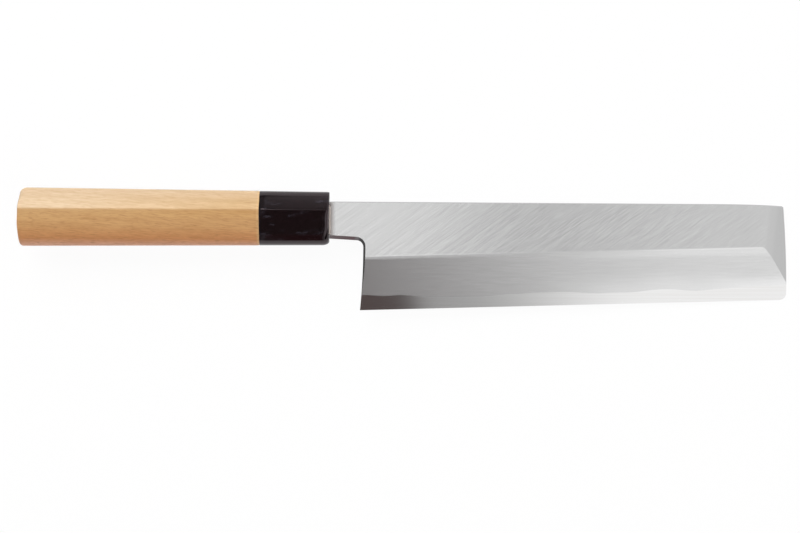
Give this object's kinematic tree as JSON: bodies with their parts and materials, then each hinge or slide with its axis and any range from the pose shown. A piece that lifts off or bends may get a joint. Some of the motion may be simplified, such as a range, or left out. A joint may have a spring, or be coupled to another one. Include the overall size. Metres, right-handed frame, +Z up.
{
  "type": "usuba knife",
  "caption": "Japanese single-bevel vegetable knife with a tall, square-tipped laminated blade, a ridged oval wooden handle and a dark horn ferrule, for slicing and sheet-peeling.",
  "frame": {"origin": "bottom centre of the bounding box, with the knife lying on its back face and the bevelled face up", "axes": "+X from the butt of the handle to the tip, +Y from the cutting edge to the spine, +Z up, out of the bevelled face"},
  "size_m": [0.352, 0.0554, 0.0224],
  "materials": {
    "soft_iron": "ground and hazed",
    "edge_steel": "honed bright",
    "magnolia": "bare, sanded smooth",
    "horn": "polished",
    "resin": "matt"
  },
  "bodies": {
    "root": {"iron_body": "soft_iron", "steel_edge": "edge_steel", "wood_handle": "magnolia", "horn_ferrule": "horn", "tang_seal": "resin"}
  },
  "joints": []
}
